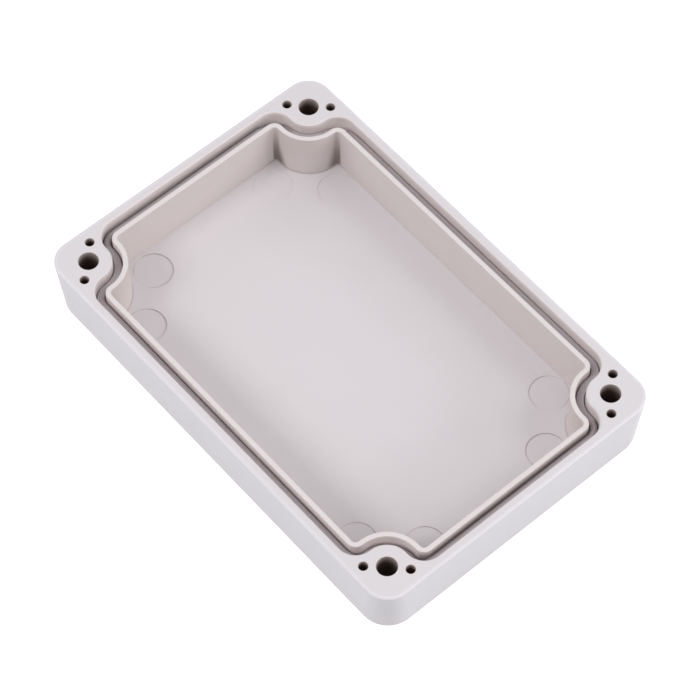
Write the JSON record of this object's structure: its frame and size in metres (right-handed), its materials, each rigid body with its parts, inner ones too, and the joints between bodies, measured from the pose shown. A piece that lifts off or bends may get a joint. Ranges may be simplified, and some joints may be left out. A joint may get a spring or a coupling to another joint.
{
  "type": "junction box cover",
  "caption": "Shallow moulded cover half of a sealed junction box, with a grey sealing strip in a groove that bends round the screw post in each corner.",
  "frame": {"origin": "middle of the outer face, which the cover lies on", "axes": "+X along the long side, +Y along the short side, +Z out of the open side"},
  "size_m": [0.15, 0.1016, 0.02],
  "materials": {
    "cover": "satin moulded, pale warm grey",
    "sealing_strip": "matt mid grey"
  },
  "bodies": {
    "root": {"cover": "cover", "sealing_strip": "sealing_strip"}
  },
  "joints": []
}
